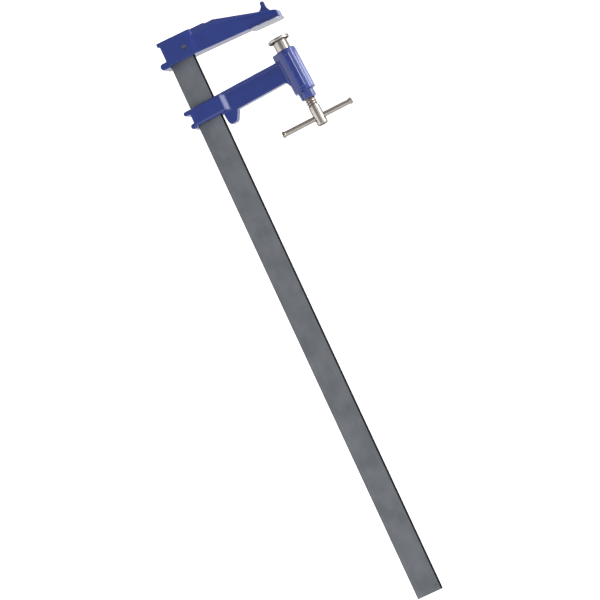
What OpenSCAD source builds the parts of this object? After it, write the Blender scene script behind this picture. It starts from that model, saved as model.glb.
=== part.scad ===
// Bar clamp with a fixed jaw, a sliding arm and a screw-driven piston that does not turn.
// X runs along the rail from the fixed jaw to the free end, Y from the rail out to the
// clamping axis, and Z is square to the broad side of the rail.
// The origin is the point of the fixed jaw's face that the clamping axis meets.
// Inside the modules the rail's centre line is Y = 0, and X = 0 is where the fixed jaw
// ends over the rail: placed() moves a finished piece from there to the origin.

/* [Rail] */
// Width of the flat bar
rail_w = 30; // [24:1:40]
// Thickness of the flat bar
rail_t = 8; // [6:0.5:10]
// Length of the bar, with the end that sits in the fixed jaw
rail_len = 691; // [300:1:1500]
// Radius of the bar's rolled edges
rail_edge_r = 1; // [0.4:0.1:2]
// Distance from the free end to the swaged stop that keeps the arm on
stop_inset = 5; // [4:0.5:20]
// Radius of the swaged stop
stop_r = 2; // [1:0.5:4]
// Height of the swaged stop over the bar's side
stop_h = 0.9; // [0.6:0.1:2]

/* [Fixed jaw] */
// Distance from the rail's edge to the clamping axis
throat = 95; // [70:0.5:150]
// Height of the jaw over the rail
jaw_h = 29.5; // [26:0.5:40]
// Thickness of the cheeks on both sides of the rail, outside to outside
cheek_t = 28; // [22:0.5:40]
// How far the thick cheeks reach past the rail's edge
cheek_reach = 5; // [3:0.5:10]
// Thickness of the beam where it leaves the cheeks
beam_root_t = 25.4; // [18:0.2:36]
// Thickness of the beam at its tip
beam_tip_t = 20; // [12:0.5:30]
// Depth of the solid metal over the rail's end
cap_t = 4; // [3:0.5:8]
// Distance from the rail's edge to where the beam's back starts to fall
crest_reach = 38; // [30:0.5:60]
// Drop of the beam's back behind the cap
crest_drop = 3; // [1:0.5:6]
// Angle of the beam's falling back
back_fall = 17.7; // [10:0.1:18]
// Height of the sloping band along the beam's back
bevel_h = 7.2; // [3:0.1:8]
// Inward step of that band on each side
bevel_in = 3; // [1:0.5:5]
// Angle by which the jaw's underside leans towards the arm
toe_in = 2.7; // [0:0.1:5]

/* [Clamping face of the fixed jaw] */
// Width of the face
pad_w = 31; // [22:0.5:40]
// Length of the face from the clamping axis to the jaw's tip
pad_front = 16.3; // [12:0.1:24]
// Length of the face from the clamping axis towards the rail
pad_back = 22.5; // [16:0.1:32]
// Step from the beam's underside to the face
pad_step = 1.8; // [1:0.1:5]
// Thickness of the plate that carries the face
pad_t = 2.2; // [2:0.1:6]
// Corner radius of the face
pad_corner_r = 7; // [3:0.5:11]

/* [Spur on the jaw's tip] */
// Thickness of the spur across the jaw
spur_t = 5; // [3:0.5:12]
// Width of the spur along the jaw
spur_w = 4.8; // [3:0.1:10]
// Height of the spur over the beam's back
spur_h = 12.2; // [6:0.1:20]
// Distance from the clamping axis to the spur's middle
spur_front = 1.7; // [0:0.1:8]
// Radius of the hollow at the spur's foot on the rail's side
spur_foot_r = 6.5; // [2:0.5:8]
// Radius of the hollow at the spur's foot on the tip's side
spur_front_foot_r = 10; // [2:0.5:12]

/* [Jaw pin] */
// Radius of the pin
pin_r = 2.6; // [2:0.1:4]
// Distance from the pin to the rail's front edge
pin_inset = 4.2; // [3.2:0.1:10]
// Distance from the rail's end inside the jaw to the pin
pin_depth = 13.4; // [8:0.2:16]

/* [Sliding arm] */
// Height of the boss that runs on the rail
boss_h = 21.6; // [18:0.2:30]
// Thickness of the boss
boss_t = 24; // [18:0.5:36]
// Radius of the boss's long edges
boss_edge_r = 3.6; // [1:0.2:5]
// How far the boss reaches past the rail's front edge
boss_reach = 14; // [10:0.5:24]
// Thickness of the arm's web
web_t = 12; // [8:0.5:16]
// Height of the web below the arm's top edge, at the boss and at the housing
web_root_h = 25; // [20:0.2:34]
web_tip_h = 24.4; // [18:0.2:30]
// Thickness of the top flange
flange_t = 2.2; // [1.5:0.1:4]
// Width of the top flange
flange_w = 20; // [14:0.5:30]
// Angle by which the arm's top edge rises towards the tip
arm_rise = 1.3; // [0:0.1:4]
// Clearance between the slot and the rail on each side
slot_gap = 0.4; // [0.3:0.05:0.8]
// Length of the heel below the boss
heel_h = 15.6; // [10:0.2:24]
// Reach of the horns behind the rail: upper and lower
upper_horn_reach = 8.4; // [6:0.2:14]
lower_horn_reach = 6.4; // [4:0.2:12]
// Thickness of each horn
horn_h = 6.1; // [4:0.1:8]

/* [Piston housing] */
// Outer radius of the housing
housing_r = 12.6; // [11:0.1:18]
// Length of the housing
housing_len = 52; // [40:0.5:70]
// Height of the housing's rim over the arm's top edge at the rail
rim_rise = 11.3; // [8:0.1:16]
// Angle by which the clamping axis leans to the rail
axis_lean = 2.9; // [0:0.05:5]
// Reach of the ear that joins the rim to the arm
ear_reach = 15.8; // [14:0.1:20]
// Height of the raised beads on the housing
bead_h = 0.6; // [0.3:0.1:1]
// Width of the raised beads
bead_w = 1.2; // [0.8:0.1:2]

/* [Piston] */
// Radius of the piston
piston_r = 8.4; // [7:0.1:9]
// Length of the piston outside the housing at rest
piston_out = 12.4; // [5:0.1:20]
// Length of the piston inside the housing at rest
piston_in = 27; // [25:0.5:29]
// Radial clearance of a running fit
fit_gap = 0.05; // [0.01:0.01:0.1]
// Width of the keyway
keyway_w = 5; // [3:0.1:5]
// Depth of the keyway
keyway_d = 2.2; // [1:0.1:2.5]
// Angle of the keyway from the front of the housing towards its near side
key_angle = 26; // [0:1:60]
// Length of the guide key
key_len = 14; // [8:0.5:20]
// Radius of the pressure disc
disc_r = 12.6; // [10:0.1:16]
// Thickness of the pressure disc
disc_t = 3.5; // [2.5:0.1:6]
// Distance from the jaw's face to the disc at rest
rest_gap = 19.9; // [10:0.1:30]

/* [Spindle] */
// Outer radius of the thread
thread_r = 6; // [5:0.1:6.5]
// Pitch of the thread
thread_pitch = 3; // [2:0.5:4]
// Length of thread that shows under the nut at rest
thread_out = 10.2; // [4:0.1:20]
// Radius of the journal that turns in the piston
journal_r = 4; // [3:0.1:4.5]
// Radius of the spindle's head
head_r = 6.4; // [6:0.1:9]
// Length of the spindle's head
head_len = 22.8; // [14:0.2:36]
// Length of the nut's hexagon below the housing
nut_hex_h = 9.7; // [6:0.1:14]
// Length of the nut's spigot inside the housing
nut_spigot = 10.5; // [6:0.5:11]
// Radius of the nut's hexagon over its corners
nut_corner_r = 9.3; // [8:0.1:11]
// Turn of the nut's corners about its axis
nut_turn = 11.5; // [0:0.5:59]

/* [Tommy bar] */
// Radius of the bar
bar_r = 3; // [2:0.1:4]
// Length of the bar
bar_len = 88; // [60:1:140]
// Radius of the bar's formed ends
bar_end_r = 3.8; // [3:0.1:6]
// Length of each formed end
bar_end_len = 3.5; // [2:0.5:8]
// How far the bar is pushed towards the rail at rest
bar_shift = 2.4; // [0:0.1:20]
// Angle of the bar from the rail's plane at rest
bar_turn = 16; // [0:1:90]

/* [Hidden] */
$fn = 64;

over = 1;            // overrun of every cut past the surface it leaves
slice = 0.02;        // thickness of the sections that a loft joins
blue = "#2f3f92";
dark_steel = "#6c6f74";
bright_steel = "#c9c6c2";

rail_front = rail_w / 2;
reach = rail_front + throat;                 // rail's centre line to the clamping axis
step_y = rail_front + cheek_reach;           // where the thick cheeks end
beam_t_fall = (beam_root_t - beam_tip_t) / (throat + pad_front - cheek_reach);
crest_y = rail_front + crest_reach;
crest_x = -(jaw_h - crest_drop);
tip_y = reach + pad_front;

// Places along the rail of the jaw's underside and its back, and the beam's thickness there
function under_x(y) = (y - rail_front) * tan(toe_in);
function back_x(y) = crest_x + max(0, y - crest_y) * tan(back_fall);
function beam_t(y) = beam_root_t - (y - step_y) * beam_t_fall;
pad_x = under_x(reach) + pad_step;

socket_gap = 0.1;                            // rail in the fixed jaw
rail_in = jaw_h - cap_t - socket_gap;        // length of rail inside the jaw
pin_up = rail_in - pin_depth;                // distance from the pin to the jaw's lower end

// The arm at rest: its top edge meets the rail's front edge at arm_x
rim_x = pad_x + (rest_gap + disc_t + piston_out) * cos(axis_lean);
rim_y = reach + (rim_x - pad_x) * tan(axis_lean);
arm_x = rim_x + rim_rise;
function arm_top(y) = -(y - rail_front) * tan(arm_rise);

// Places along the clamping axis, counted from the housing's rim away from the fixed jaw
bore_r = piston_r + fit_gap;
nut_top = housing_len - nut_spigot;
nut_end = housing_len + nut_hex_h;
head_start = nut_end + thread_out;
head_end = head_start + head_len;
bar_place_share = 0.583;                     // place of the cross hole along the head
bar_at = head_start + head_len * bar_place_share;
ball_r = journal_r - fit_gap;
pocket_depth = piston_in * 2 / 3;            // blind bore in the piston's foot
pocket_top = piston_in - pocket_depth;
tip_top = pocket_top + 2 * ball_r + 2 * fit_gap;
retainer_r = journal_r * 0.3;
groove_r = journal_r * 0.75;
groove_at = (tip_top + piston_in) / 2;
retainer_off = groove_r + retainer_r + 2 * fit_gap;
shoulder_at = piston_in + retainer_r / 2;
spigot_r = piston_r / 2;
spigot_len = disc_t * 0.6;
thread_depth = thread_pitch / 2;
housing_foot = (web_tip_h + rim_rise) / cos(axis_lean);   // where the web's underside meets it

// Pieces are modelled on the rail and then moved to the origin
module placed() {
    translate([-pad_x, -reach, 0]) children();
}

// Stands children on the clamping axis: their Z runs away from the fixed jaw from the rim,
// their Y points away from the rail and their X points to the far side
module on_axis() {
    translate([rim_x, rim_y, 0]) rotate([0, 0, axis_lean]) rotate([0, 90, 0]) children();
}

module on_arm() {
    translate([arm_x, 0, 0]) children();
}

// Stands a side view or a top view up from the plane it is drawn in
module stand_plan(from_x, len) {
    translate([from_x, 0, 0]) rotate([90, 0, 90]) linear_extrude(len) children();
}

// Rectangle with round corners, centred
module rounded_rect(w, h, r) {
    square([w - 2 * r, h], center = true);
    square([w, h - 2 * r], center = true);
    for (sx = [-1, 1], sy = [-1, 1])
        translate([sx * (w / 2 - r), sy * (h / 2 - r)]) circle(r);
}

// Nearly square lug that stands out from the rail's back edge, seen from the side
horn_in = 3;                  // part of a lug that is inside the casting
module back_lug(x, h, out, r) {
    translate([x, (horn_in - out) / 2 - rail_front]) rounded_rect(h, out + horn_in, r);
}

// Fills the inner corner at the origin, between +x and +y, with a hollow of radius r
module inner_fillet(r) {
    difference() {
        translate([-over, -over]) square(r + over);
        translate([r, r]) circle(r);
    }
}

// Rod with a chamfer at both ends, along z from 0
module chamfered_rod(r, len, c) {
    rotate_extrude()
        polygon([[0, 0], [r - c, 0], [r, c], [r, len - c], [r - c, len], [0, len]]);
}

// Flat bar with rolled edges. Its free end carries a swaged stop on both sides.
stop_front_share = 0.72;      // place of the stop between the bar's middle and its front edge
module rail() {
    color(dark_steel) placed() {
        difference() {
            stand_plan(-rail_in, rail_len) rounded_rect(rail_w, rail_t, rail_edge_r);
            translate([-pin_up, rail_front - pin_inset, 0])
                cylinder(r = pin_r + fit_gap, h = rail_t + 2 * over, center = true);
        }
        translate([rail_len - rail_in - stop_inset, rail_front * stop_front_share, 0])
            cylinder(r = stop_r, h = rail_t + 2 * stop_h, center = true);
    }
}

// How far the sloping band stands in at y: it fades from the crest to the tip
band_fade = 0.75;
function band_in(y) = bevel_in * (1 - band_fade * max(0, y - crest_y) / (tip_y - crest_y));

// Slice of the jaw's beam at one place along it: a tall section with a sloping band on top
module beam_section(y, t, drop = 0) {
    low = under_x(y);
    top = back_x(y) + drop;
    band = min(bevel_h, (low - top) / 2);
    translate([0, y + slice / 2, 0]) rotate([90, 0, 0]) linear_extrude(slice)
        polygon([[low, -t / 2], [low, t / 2], [top + band, t / 2], [top, t / 2 - band_in(y)],
            [top, band_in(y) - t / 2], [top + band, -t / 2]]);
}

module beam_loft(y_from, t_from, y_to, t_to, drop_from = 0, drop_to = 0) {
    hull() {
        beam_section(y_from, t_from, drop_from);
        beam_section(y_to, t_to, drop_to);
    }
}

// Side view of the cheeks with the lip over the rail's back edge and the lower bridge
lip_reach = 2.6;              // reach of the cap's lip behind the rail
lip_h = 5;                    // height of that lip
lip_corner_r = 1.3;
bridge_h = 7.6;               // height of the bridge behind the rail
bridge_below = 1.6;           // how far the bridge comes down past the jaw's end
bridge_reach = 9;             // reach of the bridge behind the rail
bridge_corner_r = 3.2;        // radius of its outer corners
cheek_slope = 5;              // length of the slope from the cheeks down to the beam
slope_end = step_y + cheek_slope;
cap_w = beam_t(crest_y) - 2 * bevel_in;
module cheek_outline() {
    polygon([[-jaw_h, -rail_front], [crest_x - crest_drop * cap_share(slope_end), slope_end],
        [under_x(slope_end), slope_end], [0, rail_front], [0, -rail_front]]);
    back_lug(lip_h / 2 - jaw_h, lip_h, lip_reach, lip_corner_r);
    back_lug(bridge_below - bridge_h / 2, bridge_h, bridge_reach, bridge_corner_r);
}

// How much of the crest's drop is left at y: the cap falls slowly from the rail's back edge
cap_end_y = crest_y - crest_drop * 3;
cap_end_share = 0.5;
function cap_share(y) = 1 - (1 - cap_end_share) * (y + rail_front) / (cap_end_y + rail_front);

// Cap on the beam's back, which ends in a small step before the crest
module cap_outline() {
    polygon([[crest_x - crest_drop * cap_share(step_y), step_y],
        [crest_x - crest_drop * cap_end_share, cap_end_y - crest_drop],
        [crest_x, cap_end_y], [crest_x + crest_drop, cap_end_y], [crest_x + crest_drop, step_y]]);
}

// Top view of the jaw's rail end: thick cheeks that slope down to the beam's thickness
module cheek_plan() {
    back_y = -rail_front - bridge_reach - over;
    root = beam_t(slope_end) / 2;
    polygon([[back_y, -cheek_t / 2], [step_y, -cheek_t / 2], [slope_end, -root],
        [slope_end, root], [step_y, cheek_t / 2], [back_y, cheek_t / 2]]);
}

// Plate under the jaw's tip with the clamping face, leaning by the toe-in
module pad_plate() {
    translate([pad_x, reach, 0]) rotate([0, 0, -toe_in]) rotate([0, -90, 0]) linear_extrude(pad_t)
        translate([0, (pad_front - pad_back) / 2])
            rounded_rect(pad_w, pad_front + pad_back, pad_corner_r);
}

// Hollow between an upright side on the y axis and a foot that falls away by an angle
module foot_hollow(r, fall) {
    centre = [r, r / cos(fall) - r * tan(fall)];
    difference() {
        polygon([[-over, -over], [-over, centre[1]], centre, centre - r * [sin(fall), cos(fall)]]);
        translate(centre) circle(r);
    }
}

// Spur that stands on the jaw's tip, with hollows at its foot
spur_tip_r_share = 0.38;      // tip radius as a share of the spur's width
module spur() {
    tip_r = spur_w * spur_tip_r_share;
    linear_extrude(spur_t, center = true)
        translate([back_x(reach + spur_front), reach + spur_front]) {
            translate([(spur_foot_r - spur_h) / 2, 0])
                rounded_rect(spur_h + spur_foot_r, spur_w, tip_r);
            for (side = [-1, 1])
                translate([side * spur_w / 2 * tan(back_fall), side * spur_w / 2])
                    scale([1, side]) rotate(90)
                        foot_hollow(side > 0 ? spur_front_foot_r : spur_foot_r, side * back_fall);
        }
}

// End of the beam over the clamping face, which narrows and curves down in two steps
tip_taper = 5;                // narrowing of the beam at its very end
tip_len = 4.5;                // length of that narrowing
tip_drop = 3.2;               // how far the beam's back comes down at its very end
first_share = 0.2;            // share of the narrowing and of the drop in the first step
module tip_block() {
    start_y = tip_y - tip_len;
    mid_y = tip_y - tip_len * first_share;
    mid_t = beam_t(mid_y) - tip_taper * first_share;
    beam_loft(start_y, beam_t(start_y), mid_y, mid_t, 0, tip_drop * first_share);
    beam_loft(mid_y - slice, mid_t, tip_y - slice, beam_t(tip_y) - tip_taper,
        tip_drop * first_share, tip_drop);
}

// Cast jaw: cheeks on both sides of the rail, a tapering beam, clamping face and spur
module fixed_jaw() {
    color(blue) placed() {
        difference() {
            union() {
                intersection() {
                    linear_extrude(cheek_t, center = true) cheek_outline();
                    stand_plan(-jaw_h - over, jaw_h + bridge_below + 2 * over) cheek_plan();
                }
                linear_extrude(cap_w, center = true) cap_outline();
                beam_loft(slope_end - slice, beam_t(slope_end), crest_y, beam_t(crest_y));
                beam_loft(crest_y, beam_t(crest_y), tip_y - tip_len, beam_t(tip_y - tip_len));
                tip_block();
                pad_plate();
                spur();
            }
            translate([-rail_in - socket_gap, -rail_front - socket_gap, -rail_t / 2 - socket_gap])
                cube([rail_in + socket_gap + bridge_below + over, rail_w + 2 * socket_gap,
                    rail_t + 2 * socket_gap]);
            back_opening(lip_h - jaw_h, bridge_below - bridge_h, rail_t / 2 + socket_gap);
            translate([-pin_up, rail_front - pin_inset, 0])
                cylinder(r = pin_r + fit_gap, h = cheek_t + 2 * over, center = true);
        }
    }
}

// Opens a slot to the back between two lugs
module back_opening(from_x, to_x, half_w) {
    back_y = -rail_front - bridge_reach - upper_horn_reach;
    translate([from_x, back_y, -half_w]) cube([to_x - from_x, -back_y, 2 * half_w]);
}

// Pin through the cheeks and the rail, dished at both ends
pin_dish_share = 0.5;         // depth of the dish as a share of the pin's radius
dish_r_share = 1.25;          // radius of the dish as a share of the pin's radius
module jaw_pin() {
    dish_r = pin_r * dish_r_share;
    half = cheek_t / 2;
    color(dark_steel) placed() translate([-pin_up, rail_front - pin_inset, 0]) difference() {
        translate([0, 0, -half]) chamfered_rod(pin_r, cheek_t, pin_r / 8);
        for (side = [-1, 1])
            translate([0, 0, side * (half + dish_r - pin_r * pin_dish_share)]) sphere(dish_r);
    }
}

// Side view of the boss with its horns and the scallop between them
scallop_r = 6;                // radius of the scallop
scallop_wall = 1.3;           // cheek left behind the rail at the scallop's bottom
lower_horn_drop = 2;          // how far the lower horn comes down past the boss
horn_corner_r = 2.9;          // radius of the horns' ends
module boss_outline() {
    top_x = arm_top(-rail_front);
    low_x = boss_h + lower_horn_drop;
    difference() {
        union() {
            polygon([[top_x, -rail_front - scallop_wall],
                [arm_top(rail_front + boss_reach), rail_front + boss_reach],
                [boss_h, rail_front + boss_reach], [boss_h, -rail_front - scallop_wall]]);
            back_lug(top_x + horn_h / 2, horn_h, upper_horn_reach, horn_corner_r);
            back_lug(low_x - horn_h / 2, horn_h, lower_horn_reach, horn_corner_r);
        }
        translate([(top_x + low_x) / 2, -rail_front - scallop_wall - scallop_r])
            circle(scallop_r);
    }
}

// Top view of the boss, which slopes down to the web
module boss_plan() {
    back_y = -rail_front - upper_horn_reach - over;
    front_y = rail_front + boss_reach;
    slope = (boss_t - web_t) / 2;
    polygon([[back_y, -boss_t / 2], [front_y - slope, -boss_t / 2], [front_y, -web_t / 2],
        [front_y, web_t / 2], [front_y - slope, boss_t / 2], [back_y, boss_t / 2]]);
}

// End view of the boss with round long edges, which follows the arm's top edge. The lower horn
// comes down past it.
module boss_end_view() {
    half = boss_reach + rail_w + upper_horn_reach;
    translate([0, rail_front, 0]) rotate([90, 0, arm_rise]) translate([boss_h / 2, 0, -half])
        linear_extrude(2 * half) rounded_rect(boss_h, boss_t, boss_edge_r);
    translate([boss_h - horn_h, -rail_front - scallop_wall - lower_horn_reach - over, -boss_t / 2])
        cube([horn_h + lower_horn_drop + over, lower_horn_reach + over, boss_t]);
}

// Side view of the heel under the web, which stays clear of the rail
heel_gap = 3.4;               // distance from the rail's edge to the heel
heel_w = 16.6;                // width of the heel where it leaves the web
function heel_at(h_share, w_share) =
    [boss_h + heel_h * h_share, rail_front + heel_gap + heel_w * w_share];
module heel_outline() {
    polygon([[boss_h - over, rail_front + heel_gap], heel_at(0.28, 0), heel_at(0.7, 0.05),
        heel_at(0.96, 0.15), heel_at(1, 0.25), heel_at(0.98, 0.57), heel_at(0.9, 0.68),
        heel_at(0.3, 1), [boss_h - over, rail_front + heel_gap + heel_w]]);
}

// Side view of the web, from the boss to the housing
web_fillet_r = 6;             // hollow between the web's underside and the housing
module web_outline() {
    inner = rail_front + slot_gap;
    root_y = rail_front + boss_reach;
    tip_x = arm_top(rim_y) + web_tip_h;
    polygon([[arm_top(inner), inner], [arm_top(rim_y), rim_y], [tip_x, rim_y],
        [web_root_h, root_y], [boss_h, inner]]);
    translate([tip_x, rim_y + housing_foot * sin(axis_lean) - housing_r])
        scale([1, -1]) inner_fillet(web_fillet_r);
}

// Side view of the flange along the arm's top edge
module flange_outline() {
    from_y = rail_front + boss_reach - flange_t;
    polygon([[arm_top(from_y), from_y], [arm_top(rim_y), rim_y], [arm_top(rim_y) + flange_t, rim_y],
        [arm_top(from_y) + flange_t, from_y]]);
}

// Pear-shaped section that joins the housing's rim to the arm, with true round ends
module pear(big_r, small_r, apart) {
    a = acos((big_r - small_r) / apart);
    circle(big_r);
    translate([0, -apart]) circle(small_r);
    polygon([[big_r * sin(a), -big_r * cos(a)], [small_r * sin(a), -apart - small_r * cos(a)],
        [-small_r * sin(a), -apart - small_r * cos(a)], [-big_r * sin(a), -big_r * cos(a)]]);
}

// Sector of a ring round the housing, between two angles from its near side to its front
module sector(from_a, to_a, from_z, to_z, in_r, out_r) {
    rotate([0, 0, 180 - to_a]) translate([0, 0, from_z]) rotate_extrude(angle = to_a - from_a)
        translate([in_r, 0]) square([out_r - in_r, to_z - from_z]);
}

// Empty frame of raised beads along the housing's near side
bead_from_share = 0.1;        // ends of the frame along the housing
bead_to_share = 0.9;
bead_from_angle = -7;         // its sides, from the near side towards the front
bead_to_angle = 22;
bead_angle = 5;               // width of a side bead, as an angle
module bead_frame() {
    from_z = housing_len * bead_from_share;
    to_z = housing_len * bead_to_share;
    out_r = housing_r + bead_h;
    difference() {
        sector(bead_from_angle, bead_to_angle, from_z, to_z, housing_r - over, out_r);
        sector(bead_from_angle + bead_angle, bead_to_angle - bead_angle, from_z + bead_w,
            to_z - bead_w, housing_r - 2 * over, out_r + over);
    }
}

// Cast arm: slotted boss on the rail, web with flange and heel, housing with its bore
rim_chamfer = 0.8;
module sliding_arm() {
    slot_half = rail_t / 2 + slot_gap;
    color(blue) placed() {
        difference() {
            union() {
                on_arm() intersection() {
                    linear_extrude(boss_t, center = true) boss_outline();
                    stand_plan(-over, boss_h + lower_horn_drop + 2 * over) boss_plan();
                    boss_end_view();
                }
                on_arm() linear_extrude(web_t, center = true) {
                    web_outline();
                    heel_outline();
                }
                on_arm() linear_extrude(flange_w, center = true) flange_outline();
                on_axis() chamfered_rod(housing_r, housing_len, rim_chamfer);
                on_axis() linear_extrude(rim_rise + flange_t)
                    pear(housing_r - rim_chamfer, web_t / 2, ear_reach - web_t / 2);
                on_axis() bead_frame();
            }
            on_arm() translate([-boss_h, -rail_front - slot_gap, -slot_half])
                cube([3 * boss_h, rail_w + 2 * slot_gap, 2 * slot_half]);
            on_arm() back_opening(arm_top(-rail_front) + horn_h, boss_h + lower_horn_drop - horn_h,
                slot_half);
            on_axis() translate([0, 0, -over])
                cylinder(r = bore_r, h = housing_len + 2 * over);
            on_axis() key_shape(fit_gap, over);
        }
    }
}

// Room for the guide key: from inside the keyway out into the housing's wall
key_out_share = 0.55;         // how deep the key sits in the housing's wall
key_in_share = 0.8;           // how deep it reaches into the keyway
key_w_share = 0.88;           // its width as a share of the keyway's
module key_shape(gap, above) {
    key_in = piston_r - keyway_d * key_in_share;
    key_out = bore_r + (housing_r - bore_r) * key_out_share + gap;
    key_w = keyway_w * key_w_share + 2 * gap;
    key_from = above > 0 ? -above : rim_chamfer;
    rotate([0, 0, 90 + key_angle]) translate([key_in, -key_w / 2, key_from])
        cube([key_out - key_in, key_w, key_len + gap - key_from]);
}

module guide_key() {
    color(dark_steel) placed() on_axis() key_shape(0, 0);
}

// Nut under the housing: hexagon with a bevelled foot and a spigot in the bore
nut_bevel = 1.2;
module spindle_nut() {
    color(blue) placed() on_axis() difference() {
        union() {
            translate([0, 0, nut_top]) cylinder(r = piston_r, h = nut_spigot + over);
            intersection() {
                translate([0, 0, housing_len]) rotate([0, 0, nut_turn])
                    cylinder(r = nut_corner_r, h = nut_hex_h, $fn = 6);
                translate([0, 0, housing_len]) rotate_extrude() polygon([[0, 0], [nut_corner_r, 0],
                    [nut_corner_r, nut_hex_h - nut_bevel], [nut_corner_r - nut_bevel, nut_hex_h],
                    [0, nut_hex_h]]);
            }
        }
        translate([0, 0, nut_top - over])
            cylinder(r = thread_r + fit_gap, h = nut_spigot + nut_hex_h + 2 * over);
    }
}

// Piston with its keyway, a spigot for the disc and a blind bore for the spindle's journal
module piston() {
    color(bright_steel) placed() on_axis() difference() {
        union() {
            translate([0, 0, -piston_out])
                chamfered_rod(piston_r, piston_out + piston_in, rim_chamfer / 2);
            translate([0, 0, -piston_out - spigot_len]) cylinder(r = spigot_r, h = spigot_len + over);
        }
        rotate([0, 0, 90 + key_angle]) translate([piston_r - keyway_d, -keyway_w / 2, -piston_out])
            cube([keyway_d + over, keyway_w, piston_out + piston_in + over]);
        translate([0, 0, pocket_top]) cylinder(r = journal_r + fit_gap, h = pocket_depth + over);
        for (side = [-1, 1]) retainer(side, retainer_r + fit_gap / 2, piston_r + over);
    }
}

// Tangential pin beside the journal, square to the keyway
module retainer(side, r, half_len) {
    translate([0, 0, groove_at]) rotate([0, 0, 90 + key_angle]) translate([0, side * retainer_off, 0])
        rotate([0, 90, 0]) cylinder(r = r, h = 2 * half_len, center = true);
}

retainer_half = sqrt(piston_r * piston_r - pow(retainer_off + retainer_r, 2));
module retaining_pin_near() {
    color(dark_steel) placed() on_axis() retainer(1, retainer_r, retainer_half);
}

module retaining_pin_far() {
    color(dark_steel) placed() on_axis() retainer(-1, retainer_r, retainer_half);
}

// Flat disc with eased edges, pressed on the piston's spigot
module pressure_disc() {
    ease = disc_t / 5;
    color(bright_steel) placed() on_axis() translate([0, 0, -piston_out - disc_t]) difference() {
        chamfered_rod(disc_r, disc_t, ease);
        translate([0, 0, disc_t - spigot_len - fit_gap])
            cylinder(r = spigot_r + fit_gap, h = spigot_len + fit_gap + over);
    }
}

module thrust_ball() {
    color(bright_steel) placed() on_axis() translate([0, 0, pocket_top + ball_r + fit_gap])
        sphere(ball_r);
}

// Turns children on the spindle's axis to the direction of the tommy bar
module on_bar() {
    translate([0, 0, bar_at]) rotate([0, 0, -bar_turn]) rotate([90, 0, 0]) children();
}

// Screw spindle: journal with a groove, thread at its outer radius, plain drilled head
module spindle() {
    tip_c = journal_r / 4;
    groove_half = retainer_r + 2 * fit_gap;
    head_c = head_r / 6;
    color(bright_steel) placed() on_axis() difference() {
        rotate_extrude() polygon([[0, tip_top], [journal_r - tip_c, tip_top],
            [journal_r, tip_top + tip_c], [journal_r, groove_at - groove_half],
            [groove_r, groove_at - groove_half], [groove_r, groove_at + groove_half],
            [journal_r, groove_at + groove_half], [journal_r, shoulder_at],
            [thread_r - thread_depth, shoulder_at], [thread_r, shoulder_at + thread_depth],
            [thread_r, head_start], [head_r, head_start], [head_r, head_end - head_c],
            [head_r - head_c, head_end], [0, head_end]]);
        on_bar() cylinder(r = bar_r + fit_gap, h = 2 * head_r + 2 * over, center = true);
    }
}

// Bar with formed ends that keep it in the spindle's head
module tommy_bar() {
    flare = bar_end_r - bar_r;
    plain = bar_len / 2 - bar_end_len;
    color(bright_steel) placed() on_axis() on_bar() translate([0, 0, bar_shift]) rotate_extrude()
        polygon([[0, -bar_len / 2], [bar_end_r - flare, -bar_len / 2],
            [bar_end_r, -bar_len / 2 + flare], [bar_end_r, -plain - flare], [bar_r, -plain],
            [bar_r, plain], [bar_end_r, plain + flare], [bar_end_r, bar_len / 2 - flare],
            [bar_end_r - flare, bar_len / 2], [0, bar_len / 2]]);
}

rail();
fixed_jaw();
jaw_pin();
sliding_arm();
guide_key();
spindle_nut();
piston();
pressure_disc();
thrust_ball();
retaining_pin_near();
retaining_pin_far();
spindle();
tommy_bar();
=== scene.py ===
# Screw clamp on a flat bar, in the part's own frame. Sizes are millimetres unless a note says otherwise,
# and mm turns them to Blender's metres
import math
import bmesh
import bpy
from mathutils import Matrix, Vector
from mathutils.bvhtree import BVHTree
from mathutils.kdtree import KDTree


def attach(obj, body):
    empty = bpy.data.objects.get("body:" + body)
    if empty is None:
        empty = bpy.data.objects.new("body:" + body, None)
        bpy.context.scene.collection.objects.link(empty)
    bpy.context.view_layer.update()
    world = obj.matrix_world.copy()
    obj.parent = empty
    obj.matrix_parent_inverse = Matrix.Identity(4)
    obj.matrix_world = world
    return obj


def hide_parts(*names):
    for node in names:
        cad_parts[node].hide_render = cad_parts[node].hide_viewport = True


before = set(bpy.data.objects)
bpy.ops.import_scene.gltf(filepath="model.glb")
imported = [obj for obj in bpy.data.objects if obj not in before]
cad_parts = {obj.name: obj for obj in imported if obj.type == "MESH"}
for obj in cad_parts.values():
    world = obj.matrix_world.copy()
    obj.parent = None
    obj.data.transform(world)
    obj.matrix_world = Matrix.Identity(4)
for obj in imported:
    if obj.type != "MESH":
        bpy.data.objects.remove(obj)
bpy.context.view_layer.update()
mm = 0.001

# The clamping axis leaves the origin, away from the fixed jaw, and leans out from the bar
axisLean = math.radians(2.9)
axisAway = Vector((math.cos(axisLean), math.sin(axisLean), 0))
axisOut = Vector((-math.sin(axisLean), math.cos(axisLean), 0))
rimPoint = axisAway * 35.8 * mm  # the middle of the housing's rim
# From the housing's rim: local Z along the axis, local Y out from the bar, local X to the clamp's far side
onAxis = Matrix.Translation(rimPoint) @ Matrix((
    (0, axisOut.x, axisAway.x, 0), (0, axisOut.y, axisAway.y, 0), (-1, 0, 0, 0), (0, 0, 0, 1)))
# The tommy bar crosses the axis, turned about it
barTurn = math.radians(16)
barDirection = Vector((0, 0, math.sin(barTurn))) - axisOut * math.cos(barTurn)
# The fixed jaw's clamping face toes in towards the arm
toeIn = math.radians(2.7)
padTurn = Matrix.Rotation(-toeIn, 4, "Z")


def linearRgb(hexText):
    channels = [int(hexText[i:i + 2], 16) / 255 for i in (1, 3, 5)]
    return [c / 12.92 if c <= 0.04045 else ((c + 0.055) / 1.055) ** 2.4 for c in channels] + [1.0]


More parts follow.
